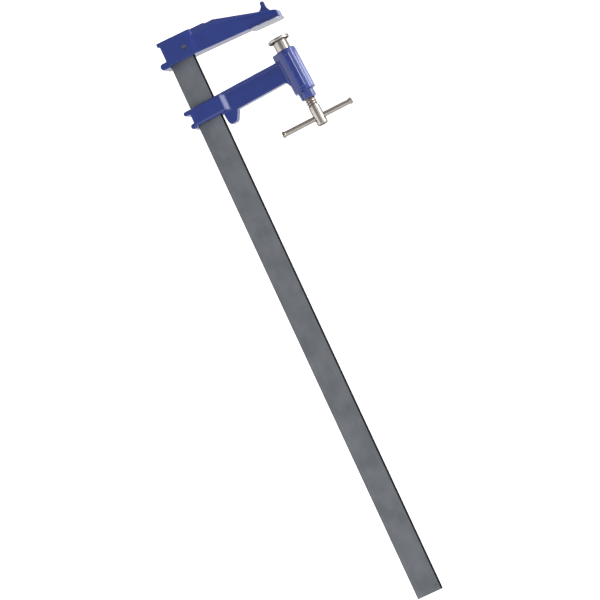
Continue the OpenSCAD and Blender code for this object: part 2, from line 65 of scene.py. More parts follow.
def addNode(tree, kind, settings=None, inputs=None, links=None):
    item = tree.nodes.new(kind)
    for name, value in (settings or {}).items():
        setattr(item, name, value)
    for socket, value in (inputs or {}).items():
        item.inputs[socket].default_value = value
    for socket, source in (links or {}).items():
        tree.links.new(source, item.inputs[socket])
    return item


def startMaterial(name):
    material = bpy.data.materials.new(name)
    material.use_nodes = True
    tree = material.node_tree
    tree.nodes.clear()
    return material, tree


def addObject(name, data):
    item = bpy.data.objects.new(name, data)
    bpy.context.scene.collection.objects.link(item)
    return item


def meshFrom(shape, name):
    mesh = bpy.data.meshes.new(name)
    shape.to_mesh(mesh)
    shape.free()
    return mesh


def plainMesh(blank, name):
    # What the blank's modifiers make, as a mesh without them
    mesh = bpy.data.meshes.new_from_object(blank.evaluated_get(bpy.context.evaluated_depsgraph_get()))
    bpy.data.objects.remove(blank)
    mesh.name = name
    return mesh


enamel = {
    "blue": "#1f388b", "deepBlue": "#192c72", "thinEdgeAndShade": "#10163a", "cloudMm": 18,
    "peelMm": 1.6, "peelHeightMm": 0.012, "castMm": 7.0, "castHeightMm": 0.035,
    "roughness": 0.26, "edgeRoughness": 0.32, "specular": 0.5, "coat": 0.45, "coatRoughness": 0.08,
    # How far the edges darken, partly from a thin coat and partly as painted shade, and the pointiness from
    # which and at which they do
    "edgeShare": 0.75, "edgeFrom": 0.53, "edgeAt": 0.59,
}
# The nut is dipped: a thicker, glossier coat that covers its corners, so it takes almost none of the painted
# edge shade
nutEnamel = dict(enamel, edgeShare=0.05, specular=0.7, coat=0.8, roughness=0.19, edgeRoughness=0.24,
                 castHeightMm=0.005)


def makeEnamel(name, settings):
    # Glossy stoving enamel over a rough casting: soft waves, fine orange peel, and on the edges a thin coat
    # where the dark iron shows through, darkened further as painted shade that draws dark outlines
    material, tree = startMaterial(name)
    place = addNode(tree, "ShaderNodeTexCoord").outputs["Object"]
    clouds = addNode(tree, "ShaderNodeTexNoise", {}, {"Scale": 1 / (settings["cloudMm"] * mm), "Detail": 3.0},
                     {"Vector": place})
    tone = addNode(tree, "ShaderNodeMix", {"data_type": "RGBA"},
                   {"A": linearRgb(settings["blue"]), "B": linearRgb(settings["deepBlue"])},
                   {"Factor": clouds.outputs["Fac"]})
    shape = addNode(tree, "ShaderNodeNewGeometry")
    # Convex edges get darker, partly from the thin coat and partly as painted shade; the same mask also
    # roughens them
    edges = addNode(tree, "ShaderNodeMapRange", {},
                    {"From Min": settings["edgeFrom"], "From Max": settings["edgeAt"],
                     "To Max": settings["edgeShare"]}, {"Value": shape.outputs["Pointiness"]})
    thin = addNode(tree, "ShaderNodeMix", {"data_type": "RGBA"}, {"B": linearRgb(settings["thinEdgeAndShade"])},
                   {"Factor": edges.outputs[0], "A": tone.outputs["Result"]})
    casting = addNode(tree, "ShaderNodeTexNoise", {}, {"Scale": 1 / (settings["castMm"] * mm), "Detail": 2.0},
                      {"Vector": place})
    waves = addNode(tree, "ShaderNodeBump", {}, {"Strength": 1.0, "Distance": settings["castHeightMm"] * mm},
                    {"Height": casting.outputs["Fac"]})
    peel = addNode(tree, "ShaderNodeTexNoise", {}, {"Scale": 1 / (settings["peelMm"] * mm), "Detail": 1.0},
                   {"Vector": place})
    skin = addNode(tree, "ShaderNodeBump", {}, {"Strength": 1.0, "Distance": settings["peelHeightMm"] * mm},
                   {"Height": peel.outputs["Fac"], "Normal": waves.outputs[0]})
    dull = addNode(tree, "ShaderNodeMapRange", {},
                   {"From Max": settings["edgeShare"], "To Min": settings["roughness"],
                    "To Max": settings["edgeRoughness"]}, {"Value": edges.outputs[0]})
    shader = addNode(tree, "ShaderNodeBsdfPrincipled", {},
                     {"IOR": 1.5, "Specular IOR Level": settings["specular"], "Coat IOR": 1.5,
                      "Coat Weight": settings["coat"], "Coat Roughness": settings["coatRoughness"]},
                     {"Base Color": thin.outputs["Result"], "Normal": skin.outputs[0],
                      "Roughness": dull.outputs[0]})
    addNode(tree, "ShaderNodeOutputMaterial", links={"Surface": shader.outputs[0]})
    return material


barSteel = {
    "scale": "#73767c", "patch": "#666a70", "bright": "#8c8f97", "metallic": 0.35,
    "patchMm": 22, "patchFrom": 0.35, "patchAt": 0.65, "patchGloss": 0.42, "patchDull": 0.6,
    "streakMm": 0.5, "streakLengthMm": 60, "streakFrom": 0.55, "streakAt": 0.8, "streakShare": 0.5,
    "streakHeightMm": 0.02, "streakStrength": 0.5, "pitMm": 0.7, "pitDepthMm": 0.03, "pitStrength": 0.35,
}
# Painted shade on the bar's narrow faces: near-black with lighter crumbs
narrowFaceShade = {"black": "#191a1c", "lighterCrumb": "#2c2e31", "roughness": 0.85, "crumbMm": 2.5,
             "crumbHeightMm": 0.04, "crumbStrength": 0.6}


def makeBarSteel():
    # Hot-rolled flat bar, phosphated: dull grey with rolling streaks and shallow pits
    material, tree = startMaterial("phosphatedRolledSteel")
    place = addNode(tree, "ShaderNodeTexCoord").outputs["Object"]
    clouds = addNode(tree, "ShaderNodeTexNoise", {}, {"Scale": 1 / (barSteel["patchMm"] * mm), "Detail": 5.0},
                     {"Vector": place})
    cloudShare = addNode(tree, "ShaderNodeMapRange", {},
                         {"From Min": barSteel["patchFrom"], "From Max": barSteel["patchAt"]},
                         {"Value": clouds.outputs["Fac"]})
    tone = addNode(tree, "ShaderNodeMix", {"data_type": "RGBA"},
                   {"A": linearRgb(barSteel["scale"]), "B": linearRgb(barSteel["patch"])},
                   {"Factor": cloudShare.outputs[0]})
    along = addNode(tree, "ShaderNodeMapping", {"vector_type": "TEXTURE"},
                    {"Scale": (barSteel["streakLengthMm"] / barSteel["streakMm"], 1, 1)}, {"Vector": place})
    streaks = addNode(tree, "ShaderNodeTexNoise", {},
                      {"Scale": 1 / (barSteel["streakMm"] * mm), "Detail": 2.0},
                      {"Vector": along.outputs[0]})
    streakShare = addNode(tree, "ShaderNodeMapRange", {},
                          {"From Min": barSteel["streakFrom"], "From Max": barSteel["streakAt"],
                           "To Max": barSteel["streakShare"]}, {"Value": streaks.outputs["Fac"]})
    rolled = addNode(tree, "ShaderNodeMix", {"data_type": "RGBA"}, {"B": linearRgb(barSteel["bright"])},
                     {"Factor": streakShare.outputs[0], "A": tone.outputs["Result"]})
    pits = addNode(tree, "ShaderNodeTexVoronoi", {}, {"Scale": 1 / (barSteel["pitMm"] * mm)},
                   {"Vector": place})
    pitBump = addNode(tree, "ShaderNodeBump", {},
                      {"Strength": barSteel["pitStrength"], "Distance": barSteel["pitDepthMm"] * mm},
                      {"Height": pits.outputs["Distance"]})
    streakBump = addNode(tree, "ShaderNodeBump", {},
                         {"Strength": barSteel["streakStrength"],
                          "Distance": barSteel["streakHeightMm"] * mm},
                         {"Height": streaks.outputs["Fac"], "Normal": pitBump.outputs[0]})
    gloss = addNode(tree, "ShaderNodeMapRange", {},
                    {"To Min": barSteel["patchGloss"], "To Max": barSteel["patchDull"]},
                    {"Value": clouds.outputs["Fac"]})
    shader = addNode(tree, "ShaderNodeBsdfPrincipled", {}, {"Metallic": barSteel["metallic"]},
                     {"Base Color": rolled.outputs["Result"], "Roughness": gloss.outputs[0],
                      "Normal": streakBump.outputs[0]})
    addNode(tree, "ShaderNodeOutputMaterial", links={"Surface": shader.outputs[0]})
    return material


def makeNarrowFaceShade():
    # Painted shade for the bar's narrow faces: near-black, rough, crumbly and without gloss
    material, tree = startMaterial("narrowFacePaintedShade")
    place = addNode(tree, "ShaderNodeTexCoord").outputs["Object"]
    crumbs = addNode(tree, "ShaderNodeTexNoise", {},
                     {"Scale": 1 / (narrowFaceShade["crumbMm"] * mm), "Detail": 4.0}, {"Vector": place})
    tone = addNode(tree, "ShaderNodeMix", {"data_type": "RGBA"},
                   {"A": linearRgb(narrowFaceShade["black"]), "B": linearRgb(narrowFaceShade["lighterCrumb"])},
                   {"Factor": crumbs.outputs["Fac"]})
    lift = addNode(tree, "ShaderNodeBump", {},
                   {"Strength": narrowFaceShade["crumbStrength"], "Distance": narrowFaceShade["crumbHeightMm"] * mm},
                   {"Height": crumbs.outputs["Fac"]})
    shader = addNode(tree, "ShaderNodeBsdfPrincipled", {},
                     {"Roughness": narrowFaceShade["roughness"], "Specular IOR Level": 0.0},
                     {"Base Color": tone.outputs["Result"], "Normal": lift.outputs[0]})
    addNode(tree, "ShaderNodeOutputMaterial", links={"Surface": shader.outputs[0]})
    return material


# The marks are spaced wider than real ones, so that they show: the wave texture repeats every 0.314 / scale.
# Smears of oil make the steel a little glossier here and duller there
cutMarks = {"repeat": 0.314, "waver": 1.5, "detail": 2.0, "detailScale": 0.6,
            "glossier": 0.04, "duller": 0.06}


def makeCutSteel(name, settings):
    # Steel with the fine marks of its last cut, on a mapping turned to its own axis
    material, tree = startMaterial(name)
    coordinates = addNode(tree, "ShaderNodeTexCoord")
    place = addNode(tree, "ShaderNodeMapping", {"vector_type": "TEXTURE"},
                    {"Location": settings["centre"], "Rotation": settings["turn"]},
                    {"Vector": coordinates.outputs["Object"]}).outputs[0]
    smears = addNode(tree, "ShaderNodeTexNoise", {}, {"Scale": 1 / (settings["smearMm"] * mm), "Detail": 4.0},
                     {"Vector": place})
    tone = addNode(tree, "ShaderNodeMix", {"data_type": "RGBA"},
                   {"A": linearRgb(settings["light"]), "B": linearRgb(settings["dark"])},
                   {"Factor": smears.outputs["Fac"]})
    marks = addNode(tree, "ShaderNodeTexWave", settings["wave"],
                    {"Scale": cutMarks["repeat"] / (settings["markMm"] * mm), "Distortion": cutMarks["waver"],
                     "Detail": cutMarks["detail"], "Detail Scale": cutMarks["detailScale"]},
                    {"Vector": place})
    cut = addNode(tree, "ShaderNodeBump", {}, {"Strength": 1.0, "Distance": settings["markHeightMm"] * mm},
                  {"Height": marks.outputs["Fac"]})
    gloss = addNode(tree, "ShaderNodeMapRange", {},
                    {"To Min": settings["roughness"] - cutMarks["glossier"],
                     "To Max": settings["roughness"] + cutMarks["duller"]},
                    {"Value": smears.outputs["Fac"]})
    # The tint is what the metal keeps of its brightness where it turns away
    shader = addNode(tree, "ShaderNodeBsdfPrincipled", {},
                     {"Metallic": 1.0, "Specular Tint": linearRgb(settings["rim"])},
                     {"Base Color": tone.outputs["Result"], "Roughness": gloss.outputs[0],
                      "Normal": cut.outputs[0]})
    addNode(tree, "ShaderNodeOutputMaterial", links={"Surface": shader.outputs[0]})
    return material


# Turned and bright plated: mirrors its surroundings in bands, with turning marks round the axis
turnedSteel = {
    "light": "#c9c3be", "dark": "#aca59f", "rim": "#4a4643", "smearMm": 6, "roughness": 0.17,
    "markMm": 0.45, "markHeightMm": 0.0007, "centre": tuple(rimPoint), "turn": (0, 0, axisLean),
    "wave": {"wave_type": "BANDS", "bands_direction": "X"},
}
# Ground and plated: finer marks and bright right to the edge
groundSteel = dict(turnedSteel, rim="#aaa49e", markMm=0.4, markHeightMm=0.0005)
# Faced on the lathe: rings round the axis
facedSteel = dict(turnedSteel, markMm=0.5, markHeightMm=0.002, roughness=0.2,
                  wave={"wave_type": "RINGS", "rings_direction": "X"})
# Drawn and plated: marks along the bar, slightly darker
drawnSteel = dict(turnedSteel, light="#b8b2ac", dark="#989189", markMm=0.4, markHeightMm=0.001,
                  roughness=0.18, turn=tuple(barDirection.to_track_quat("X", "Z").to_euler()),
                  wave={"wave_type": "BANDS", "bands_direction": "Z"})
# Sawn ends of the same bar: dark and dull, with the saw's wide arcs
sawnSteel = dict(drawnSteel, light="#454341", dark="#2c2a29", roughness=0.5,
                 wave={"wave_type": "RINGS", "rings_direction": "X"})
# Rolled thread: oily brownish flanks
threadSteel = dict(turnedSteel, light="#9a8d83", dark="#75685f", rim="#5c534c", markMm=0.6,
                   markHeightMm=0.004, roughness=0.6)
# Turned and left plain: darker, with rings on its end
pinSteel = {
    "light": "#6f7177", "dark": "#55575c", "rim": "#8a8a8a", "smearMm": 6, "roughness": 0.38,
    "markMm": 0.4, "markHeightMm": 0.004, "centre": (-18.28 * mm, -99.2 * mm, 0), "turn": (0, 0, 0),
    "wave": {"wave_type": "RINGS", "rings_direction": "Z"},
}
# Milled and left plain: dull, and pale as painted light that lifts the shade in the piston's keyway
keySteel = dict(pinSteel, light="#dedcd8", dark="#c6c4c0", rim="#ffffff", centre=tuple(rimPoint),
                roughness=0.5, wave={"wave_type": "BANDS", "bands_direction": "X"})
# Clamping face, milled across: pale grey with wide cutter marks
padSteel = dict(pinSteel, light="#c2c3c9", dark="#a9abb3", rim="#ffffff", markMm=1.1, markHeightMm=0.012,
                roughness=0.4, centre=(0, 0, 0), turn=(0, 0, -toeIn),
                wave={"wave_type": "BANDS", "bands_direction": "Y"})

enamelMaterial = makeEnamel("stovedEnamelOnCasting", enamel)
nutMaterial = makeEnamel("dippedEnamelOnNut", nutEnamel)
barMaterial = makeBarSteel()
narrowShadeMaterial = makeNarrowFaceShade()
turnedMaterial = makeCutSteel("turnedPlatedSteel", turnedSteel)
groundMaterial = makeCutSteel("groundPlatedSteel", groundSteel)
facedMaterial = makeCutSteel("facedPlatedSteel", facedSteel)
drawnMaterial = makeCutSteel("drawnPlatedSteel", drawnSteel)
sawnMaterial = makeCutSteel("sawnEndSteel", sawnSteel)
threadMaterial = makeCutSteel("rolledThreadSteel", threadSteel)
pinMaterial = makeCutSteel("turnedPlainSteel", pinSteel)
keyMaterial = makeCutSteel("milledSteelPaintedLight", keySteel)
padMaterial = makeCutSteel("milledPadSteel", padSteel)
print("materials ready")


def newPiece(name, mesh, material, body, node):
    # A finished piece on its body, with its slot and the solid that it stands for
    piece = addObject(name, mesh)
    mesh.materials.clear()
    mesh.materials.append(material)
    for polygon in mesh.polygons:
        polygon.use_smooth = True
    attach(piece, body)
    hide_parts(node)


# The castings are finely meshed copies of the solids, eased near their sharp edges only: flats and bores
# stay where they are
casting = {"sharpDegrees": 22, "edgeStepMm": 0.4, "mergeMm": 0.002, "fade": 1.6, "snapMm": 0.16}
jawCasting = dict(casting, voxelMm=0.58, passes=4, easeMm=0.85, roundsMm=(), padAboveMm=-0.7, padFromMm=-23)
armCasting = dict(casting, voxelMm=0.58, passes=4, easeMm=0.85, roundsMm=(12.6, 8.45, 13.2))
nutCasting = dict(casting, voxelMm=0.32, passes=22, easeMm=1.6, roundsMm=(8.4, 6.05))


def roundedCasting(node, name, size):
    shape = bmesh.new()
    shape.from_mesh(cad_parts[node].data)
    bmesh.ops.remove_doubles(shape, verts=shape.verts, dist=size["mergeMm"] * mm)
    bmesh.ops.recalc_face_normals(shape, faces=shape.faces)
    solid = BVHTree.FromBMesh(shape)
    points = []
    for edge in shape.edges:
        if len(edge.link_faces) == 2 and edge.calc_face_angle(0) > math.radians(size["sharpDegrees"]):
            a, b = edge.verts[0].co, edge.verts[1].co
            count = max(1, int((b - a).length / (size["edgeStepMm"] * mm)))
            points += [a.lerp(b, i / count) for i in range(count + 1)]
    sharp = KDTree(len(points))
    for i, point in enumerate(points):
        sharp.insert(point, i)
    sharp.balance()
    blank = addObject(name + "Blank", meshFrom(shape, name + "Solid"))
    even = blank.modifiers.new("even", "REMESH")
    even.mode = "VOXEL"
    even.voxel_size = size["voxelMm"] * mm
    ease = blank.modifiers.new("ease", "SMOOTH")
    ease.factor = 0.5
    ease.iterations = size["passes"]
    mesh = plainMesh(blank, name)
    near, far = size["easeMm"] * mm, size["easeMm"] * size["fade"] * mm
    toAxis = onAxis.inverted()
    for vertex in mesh.vertices:
        away = sharp.find(vertex.co)[2]
        if away > near:
            target = solid.find_nearest(vertex.co)[0]
            place = toAxis @ target
            radius = math.hypot(place.x, place.y)
            # Round faces of the solid are many-sided: out to the exact radius
            for exact in size["roundsMm"]:
                if abs(radius - exact * mm) < size["snapMm"] * mm:
                    scale = exact * mm / radius
                    target = onAxis @ Vector((place.x * scale, place.y * scale, place.z))
            vertex.co = vertex.co.lerp(target, min(1, (away - near) / (far - near)))
    print(name, len(mesh.polygons) * 2, "triangles")
    return mesh


def makeCastings():
    mesh = roundedCasting("fixed_jaw", "fixedJawCasting", jawCasting)
    newPiece("fixedJawCasting", mesh, enamelMaterial, "frame", "fixed_jaw")
    # The clamping face is milled bare after enamelling
    mesh.materials.append(padMaterial)
    for polygon in mesh.polygons:
        place = padTurn.inverted() @ polygon.center
        if place.x > jawCasting["padAboveMm"] * mm and place.y > jawCasting["padFromMm"] * mm:
            polygon.material_index = 1
    newPiece("slidingArmCasting", roundedCasting("sliding_arm", "slidingArmCasting", armCasting),
             enamelMaterial, "arm", "sliding_arm")
    newPiece("spindleNutCasting", roundedCasting("spindle_nut", "spindleNutCasting", nutCasting),
             nutMaterial, "arm", "spindle_nut")


makeCastings()
print("castings ready")


def eased(points, radius, steps=3, most=0.45):
    # Rounds each corner of a profile of (along, radius) points, on at most that share of its sides
    path = [Vector(points[0])]
    for before, corner, after in zip(points, points[1:], points[2:]):
        corner, back, on = Vector(corner), Vector(before) - Vector(corner), Vector(after) - Vector(corner)
        cut = min(radius, back.length * most, on.length * most)
        start, end = corner + back.normalized() * cut, corner + on.normalized() * cut
        for i in range(steps + 1):
            t = i / steps
            path.append(start * (1 - t) ** 2 + corner * 2 * t * (1 - t) + end * t ** 2)
    return path + [Vector(points[-1])]


def turned(name, profile, place, around=96):
    # Revolves a profile in millimetres round the local Z axis; both of its ends are on the axis
    path = [Vector(point) * mm for point in profile]
    points, faces = [(0, 0, path[0].x)], []
    rows = path[1:-1]
    for point in rows:
        for i in range(around):
            angle = 2 * math.pi * i / around
            points.append((point.y * math.cos(angle), point.y * math.sin(angle), point.x))
    points.append((0, 0, path[-1].x))
    last = len(points) - 1
    for i in range(around):
        j = (i + 1) % around
        faces.append((0, 1 + j, 1 + i))
        for row in range(len(rows) - 1):
            a, b = 1 + row * around, 1 + (row + 1) * around
            faces.append((a + i, a + j, b + j, b + i))
        faces.append((last, last - around + i, last - around + j))
    mesh = bpy.data.meshes.new(name)
    mesh.from_pydata(points, [], faces)
    mesh.transform(place)
    shape = bmesh.new()
    shape.from_mesh(mesh)
    bmesh.ops.recalc_face_normals(shape, faces=shape.faces)
    shape.to_mesh(mesh)
    shape.free()
    return mesh


def drill(radius, place, around=96, reach=10):
    # A round cutter that reaches past both sides of what it goes through
    return turned("hole", ((-reach, 0), (-reach, radius), (reach, radius), (reach, 0)), place, around)


def cutAway(mesh, *tools):
    blank = addObject("blank", mesh)
    cutters = []
    for tool in tools:
        cutter = addObject("tool", tool)
        cutters.append(cutter)
        cut = blank.modifiers.new("cut", "BOOLEAN")
        cut.operation, cut.solver, cut.object = "DIFFERENCE", "EXACT", cutter
    done = plainMesh(blank, mesh.name)
    for cutter in cutters:
        bpy.data.objects.remove(cutter)
    return done


def block(lowest, highest, place):
    # A box between two corners in millimetres
    shape = bmesh.new()
    bmesh.ops.create_cube(shape, size=1)
    for vertex in shape.verts:
        vertex.co = Vector([low + (high - low) * (c + 0.5)
                            for c, low, high in zip(vertex.co, lowest, highest)]) * mm
    mesh = meshFrom(shape, "block")
    mesh.transform(place)
    return mesh


def joined(mesh, other):
    # Adds the other mesh's faces after the mesh's own
    shape = bmesh.new()
    shape.from_mesh(mesh)
    shape.from_mesh(other)
    shape.to_mesh(mesh)
    shape.free()


# The thread that shows between the nut and the head, from the housing's rim along the axis, in millimetres
thread = {
    "from": 28.6, "to": 71.9, "radius": 6.0, "depth": 1.1, "pitch": 3.0,
    "crestShare": 0.16, "rootShare": 0.32, "around": 48, "alongEachPitch": 12,
}


def threadTree():
    tree = bpy.data.node_groups.new("trapezoidThread", "GeometryNodeTree")
    tree.interface.new_socket("Geometry", in_out="INPUT", socket_type="NodeSocketGeometry")
    for name in ("Length", "Radius", "Depth", "Pitch", "Crest Share", "Root Share"):
        tree.interface.new_socket(name, in_out="INPUT", socket_type="NodeSocketFloat")
    for name in ("Around", "Along"):
        tree.interface.new_socket(name, in_out="INPUT", socket_type="NodeSocketInt")
    tree.interface.new_socket("Material", in_out="INPUT", socket_type="NodeSocketMaterial")
    tree.interface.new_socket("Geometry", in_out="OUTPUT", socket_type="NodeSocketGeometry")
    inputs = addNode(tree, "NodeGroupInput").outputs
    tube = addNode(tree, "GeometryNodeMeshCylinder", {"fill_type": "NGON"},
                   links={"Vertices": inputs["Around"], "Side Segments": inputs["Along"],
                          "Radius": inputs["Radius"], "Depth": inputs["Length"]})
    place = addNode(tree, "GeometryNodeInputPosition")
    axes = addNode(tree, "ShaderNodeSeparateXYZ", links={"Vector": place.outputs[0]})
    # Each point's place in its turn of the helix: 0 on the crest's middle, 0.5 on the root's
    turn = addNode(tree, "ShaderNodeMath", {"operation": "ARCTAN2"},
                   links={0: axes.outputs["Y"], 1: axes.outputs["X"]})
    turns = addNode(tree, "ShaderNodeMath", {"operation": "DIVIDE"}, {1: 2 * math.pi}, {0: turn.outputs[0]})
    pitches = addNode(tree, "ShaderNodeMath", {"operation": "DIVIDE"},
                      links={0: axes.outputs["Z"], 1: inputs["Pitch"]})
    phase = addNode(tree, "ShaderNodeMath", {"operation": "SUBTRACT"},
                    links={0: pitches.outputs[0], 1: turns.outputs[0]})
    wave = addNode(tree, "ShaderNodeMath", {"operation": "PINGPONG"}, {1: 0.5}, {0: phase.outputs[0]})
    flank = addNode(tree, "ShaderNodeMapRange",
                    links={"Value": wave.outputs[0], "From Min": inputs["Crest Share"],
                           "From Max": inputs["Root Share"]})
    inward = addNode(tree, "ShaderNodeMath", {"operation": "MULTIPLY"},
                     links={0: flank.outputs[0], 1: inputs["Depth"]})
    share = addNode(tree, "ShaderNodeMath", {"operation": "DIVIDE"},
                    links={0: inward.outputs[0], 1: inputs["Radius"]})
    keep = addNode(tree, "ShaderNodeMath", {"operation": "SUBTRACT"}, {0: 1.0}, {1: share.outputs[0]})
    x = addNode(tree, "ShaderNodeMath", {"operation": "MULTIPLY"},
                links={0: axes.outputs["X"], 1: keep.outputs[0]})
    y = addNode(tree, "ShaderNodeMath", {"operation": "MULTIPLY"},
                links={0: axes.outputs["Y"], 1: keep.outputs[0]})
    moved = addNode(tree, "ShaderNodeCombineXYZ",
                    links={"X": x.outputs[0], "Y": y.outputs[0], "Z": axes.outputs["Z"]})
    cut = addNode(tree, "GeometryNodeSetPosition",
                  links={"Geometry": tube.outputs["Mesh"], "Position": moved.outputs[0]})
    real = addNode(tree, "GeometryNodeRealizeInstances", links={"Geometry": cut.outputs[0]})
    dressed = addNode(tree, "GeometryNodeSetMaterial",
                      links={"Geometry": real.outputs[0], "Material": inputs["Material"]})
    addNode(tree, "NodeGroupOutput", links={"Geometry": dressed.outputs[0]})
    return tree


def meshFromTree(name, tree, values):
    blank = addObject(name + "Blank", bpy.data.meshes.new(name + "Blank"))
    made = blank.modifiers.new("made", "NODES")
    made.node_group = tree
    for item in tree.interface.items_tree:
        if item.in_out == "INPUT" and item.name in values:
            made[item.identifier] = values[item.name]
    return plainMesh(blank, name)


# The core covers the bottom of the thread's roots by the overlap
spindle = {"tip": 17, "journal": 4, "grooveAt": 22, "grooveHalf": 1.3, "groove": 3, "shoulder": 27.6,
           "overlap": 0.05, "head": 6.4, "headEnd": 94.7, "headEase": 1.05, "barAt": 85.19, "barHole": 3.05,
           "ease": 0.25, "creaseDegrees": 35}
# The bar's faces that look along it, to within the sawn cosine, are its sawn ends
bar = {"radius": 3, "half": 44, "end": 3.8, "endLength": 3.5, "face": 2.52, "shift": 2.4, "ease": 0.5,
       "easeSteps": 4, "around": 64, "sawnCosine": 0.45, "creaseDegrees": 40}
barFrame = (Matrix.Translation(onAxis @ Vector((0, 0, spindle["barAt"] * mm)))
            @ barDirection.to_track_quat("Z", "Y").to_matrix().to_4x4())


def makeSpindle():
    # Journal with its groove, a core under the thread, and the plain head with its cross hole
    length = (thread["to"] - thread["from"]) * mm
    along = int((thread["to"] - thread["from"]) / thread["pitch"] * thread["alongEachPitch"])
    sleeve = meshFromTree("spindleThread", threadTree(), {
        "Length": length, "Radius": thread["radius"] * mm, "Depth": thread["depth"] * mm,
        "Pitch": thread["pitch"] * mm, "Crest Share": thread["crestShare"], "Root Share": thread["rootShare"],
        "Around": thread["around"], "Along": along, "Material": threadMaterial})
    sleeve.transform(onAxis @ Matrix.Translation((0, 0, thread["from"] * mm + length / 2)))
    core = thread["radius"] - thread["depth"] + spindle["overlap"]
    journal, head, headEnd = spindle["journal"], spindle["head"], spindle["headEnd"]
    grooveFrom, grooveTo = (spindle["grooveAt"] + side * spindle["grooveHalf"] for side in (-1, 1))
    profile = eased([
        (spindle["tip"], 0), (spindle["tip"], journal), (grooveFrom, journal),
        (grooveFrom, spindle["groove"]), (grooveTo, spindle["groove"]), (grooveTo, journal),
        (spindle["shoulder"], journal), (spindle["shoulder"], core), (thread["to"], core),
        (thread["to"], head), (headEnd - spindle["headEase"], head),
        (headEnd, head - spindle["headEase"]), (headEnd, 0)], spindle["ease"])
    mesh = cutAway(turned("screwSpindle", profile, onAxis), drill(spindle["barHole"], barFrame))
    plain = len(mesh.polygons)
    joined(mesh, sleeve)
    newPiece("screwSpindle", mesh, turnedMaterial, "spindle", "spindle")
    mesh.materials.append(threadMaterial)
    for polygon in mesh.polygons[plain:]:
        polygon.material_index = 1
    mesh.set_sharp_from_angle(angle=math.radians(spindle["creaseDegrees"]))


def makeTommyBar():
    # Its two ends are upset a little, so it can't fall out of the head
    flare, plain = bar["end"] - bar["radius"], bar["half"] - bar["endLength"]
    half = [(plain, bar["radius"]), (plain + flare, bar["end"]), (bar["half"] - flare, bar["end"]),
            (bar["half"], bar["face"]), (bar["half"], 0)]
    profile = eased([(-a, r) for a, r in reversed(half)] + half, bar["ease"], bar["easeSteps"])
    place = barFrame @ Matrix.Translation((0, 0, bar["shift"] * mm))
    mesh = turned("tommyBar", profile, place, bar["around"])
    newPiece("tommyBar", mesh, drawnMaterial, "tommy_bar", "tommy_bar")
    mesh.materials.append(sawnMaterial)
    for polygon in mesh.polygons:
        side = math.copysign(1, (polygon.center - place.translation).dot(barDirection))
        if polygon.normal.dot(barDirection) * side > bar["sawnCosine"]:
            polygon.material_index = 1
    mesh.set_sharp_from_angle(angle=math.radians(bar["creaseDegrees"]))


piston = {"radius": 8.4, "from": -12.4, "to": 27, "bore": 4.05, "boreFrom": 9, "ease": 0.4,
          "keyway": 5, "keywayDepth": 2.2, "keyAngle": 26, "overrun": 1, "pinAt": 22, "pinOff": 4.3,
          "pin": 1.25, "pinAround": 24, "floorSlack": 0.1, "wallSlack": 0.02, "creaseDegrees": 35}
disc = {"radius": 12.6, "from": -15.9, "to": -12.4, "edge": 0.7, "ease": 0.4, "around": 128,
        "creaseDegrees": 35}


def makePiston():
    # A plunger with a keyway along it, and bored for the journal and its two cross pins
    keywayFrom, overrun = piston["radius"] - piston["keywayDepth"], piston["overrun"]
    solid = turned("pistonRod", eased([
        (piston["from"], 0), (piston["from"], piston["radius"]), (piston["to"], piston["radius"]),
        (piston["to"], piston["bore"]), (piston["boreFrom"], piston["bore"]), (piston["boreFrom"], 0)],
        piston["ease"]), onAxis)
    turnKey = onAxis @ Matrix.Rotation(math.radians(90 + piston["keyAngle"]), 4, "Z")
    keyway = block((keywayFrom, -piston["keyway"] / 2, piston["from"] - overrun),
                   (piston["radius"] + overrun, piston["keyway"] / 2, piston["to"] + overrun), turnKey)
    across = Matrix.Rotation(math.radians(90), 4, "Y")
    pinHoles = [drill(piston["pin"], turnKey @ Matrix.Translation(
        (0, side * piston["pinOff"] * mm, piston["pinAt"] * mm)) @ across, piston["pinAround"])
        for side in (-1, 1)]
    mesh = cutAway(solid, keyway, *pinHoles)
    newPiece("pistonRod", mesh, groundMaterial, "piston", "piston")
    # The keyway's floor and walls take the pale steel: painted light against the keyway's shade
    mesh.materials.append(keyMaterial)
    toKey = turnKey.inverted()
    lowest = (keywayFrom - piston["floorSlack"]) * mm
    widest = (piston["keyway"] / 2 + piston["wallSlack"]) * mm
    for polygon in mesh.polygons:
        place = toKey @ polygon.center
        if place.x > lowest and abs(place.y) < widest:
            polygon.material_index = 1
    mesh.set_sharp_from_angle(angle=math.radians(piston["creaseDegrees"]))


def makeDisc():
    inner = disc["radius"] - disc["edge"]
    mesh = turned("pressureDisc", eased([
        (disc["from"], 0), (disc["from"], inner), (disc["from"] + disc["edge"], disc["radius"]),
        (disc["to"] - disc["edge"], disc["radius"]), (disc["to"], inner), (disc["to"], 0)],
        disc["ease"]), onAxis, disc["around"])
    newPiece("pressureDisc", mesh, facedMaterial, "piston", "pressure_disc")
    mesh.set_sharp_from_angle(angle=math.radians(disc["creaseDegrees"]))


pin = {"radius": 2.6, "half": 14, "rim": 0.45, "lip": 0.15, "lipRadius": 1.88, "dishEdge": 0.72,
       "dishRadius": 1.17, "dish": 0.9, "ease": 0.2, "around": 48, "creaseDegrees": 40,
       "at": (-18.28, -99.2, 0)}


def makePin():
    # Driven in and left with a shallow dish in each end
    half = [(pin["half"] - pin["rim"], pin["radius"]), (pin["half"], pin["radius"] - pin["rim"]),
            (pin["half"] - pin["lip"], pin["lipRadius"]),
            (pin["half"] - pin["dishEdge"], pin["dishRadius"]), (pin["half"] - pin["dish"], 0)]
    profile = eased([(-a, r) for a, r in reversed(half)] + half, pin["ease"])
    mesh = turned("jawPin", profile, Matrix.Translation(Vector(pin["at"]) * mm), pin["around"])
    newPiece("jawPinTurned", mesh, pinMaterial, "frame", "jaw_pin")
    mesh.set_sharp_from_angle(angle=math.radians(pin["creaseDegrees"]))


makeSpindle()
makeTommyBar()
makePiston()
makeDisc()
makePin()
print("turned pieces ready")
